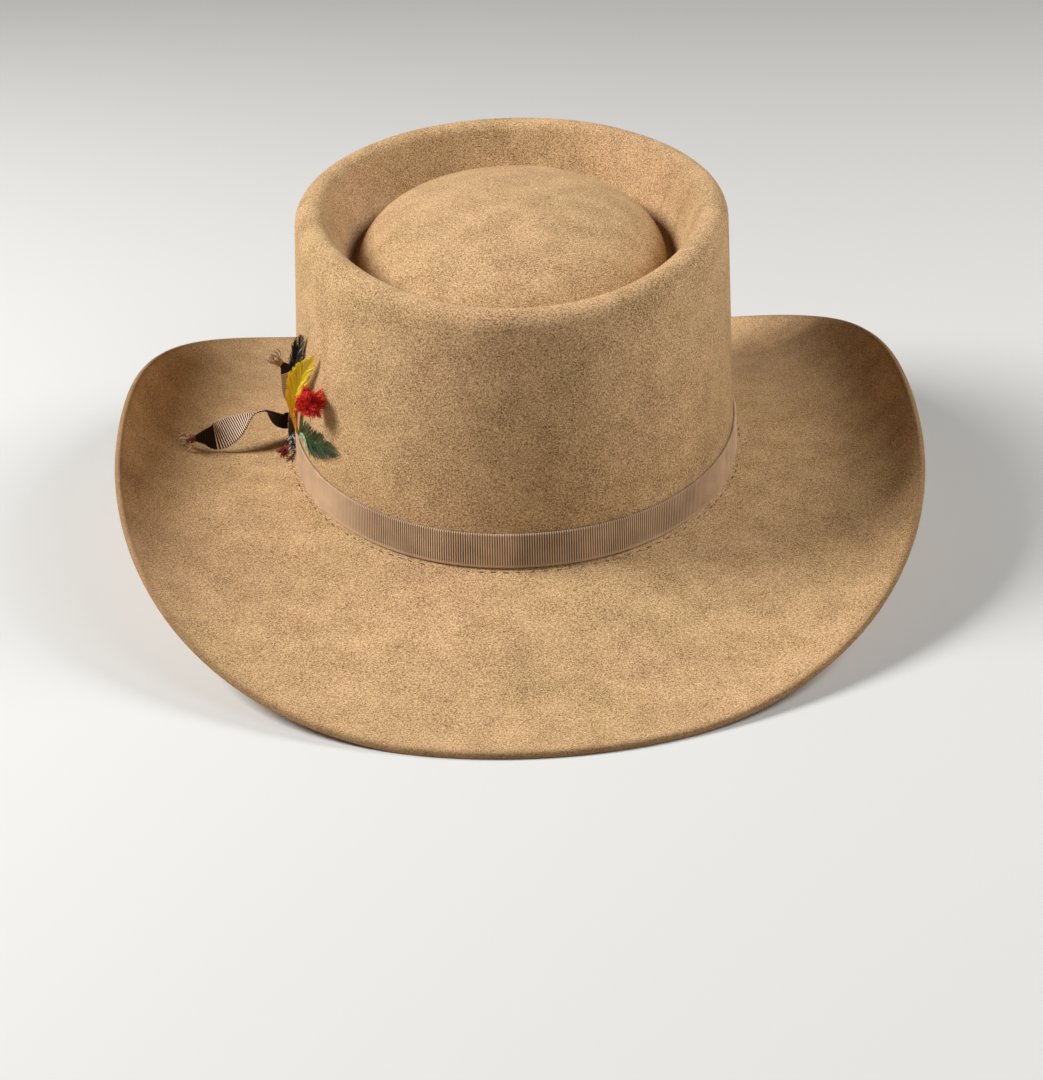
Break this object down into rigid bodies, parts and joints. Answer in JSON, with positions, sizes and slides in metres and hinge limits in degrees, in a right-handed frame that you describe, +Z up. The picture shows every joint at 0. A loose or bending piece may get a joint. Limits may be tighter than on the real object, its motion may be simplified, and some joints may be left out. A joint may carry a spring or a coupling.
{
  "type": "bush hat",
  "caption": "Felt bush hat with an oval telescope crown, a curled brim, a ribbed ribbon with two tails and a bunch of feathers at its left side.",
  "frame": {"origin": "on the floor below the middle of the hat's box, with the hat lying on the back and front ends of its brim", "axes": "+Y towards the wearer's front, +X towards the wearer's right, +Z up through the crown"},
  "size_m": [0.2998, 0.369, 0.1273],
  "materials": {
    "felt": "matte fur felt",
    "leather": "smooth, worn",
    "grosgrain": "ribbed ribbon",
    "knot_grosgrain": "ribbed ribbon",
    "tail_grosgrain": "ribbed ribbon",
    "yellow_vane": "feather",
    "black_vane": "feather",
    "green_vane": "feather",
    "barred_vane": "feather",
    "red_fluff": "fluffy hackle"
  },
  "bodies": {
    "root": {"felt_body": "felt", "sweatband": "leather", "hat_band": "grosgrain", "ribbon_knot": "knot_grosgrain", "tail_long": "tail_grosgrain", "tail_short": "tail_grosgrain", "yellow_feather": "yellow_vane", "black_feather": "black_vane", "green_feather": "green_vane", "barred_feather": "barred_vane", "red_hackle": "red_fluff", "red_tip": "red_fluff"}
  },
  "joints": []
}
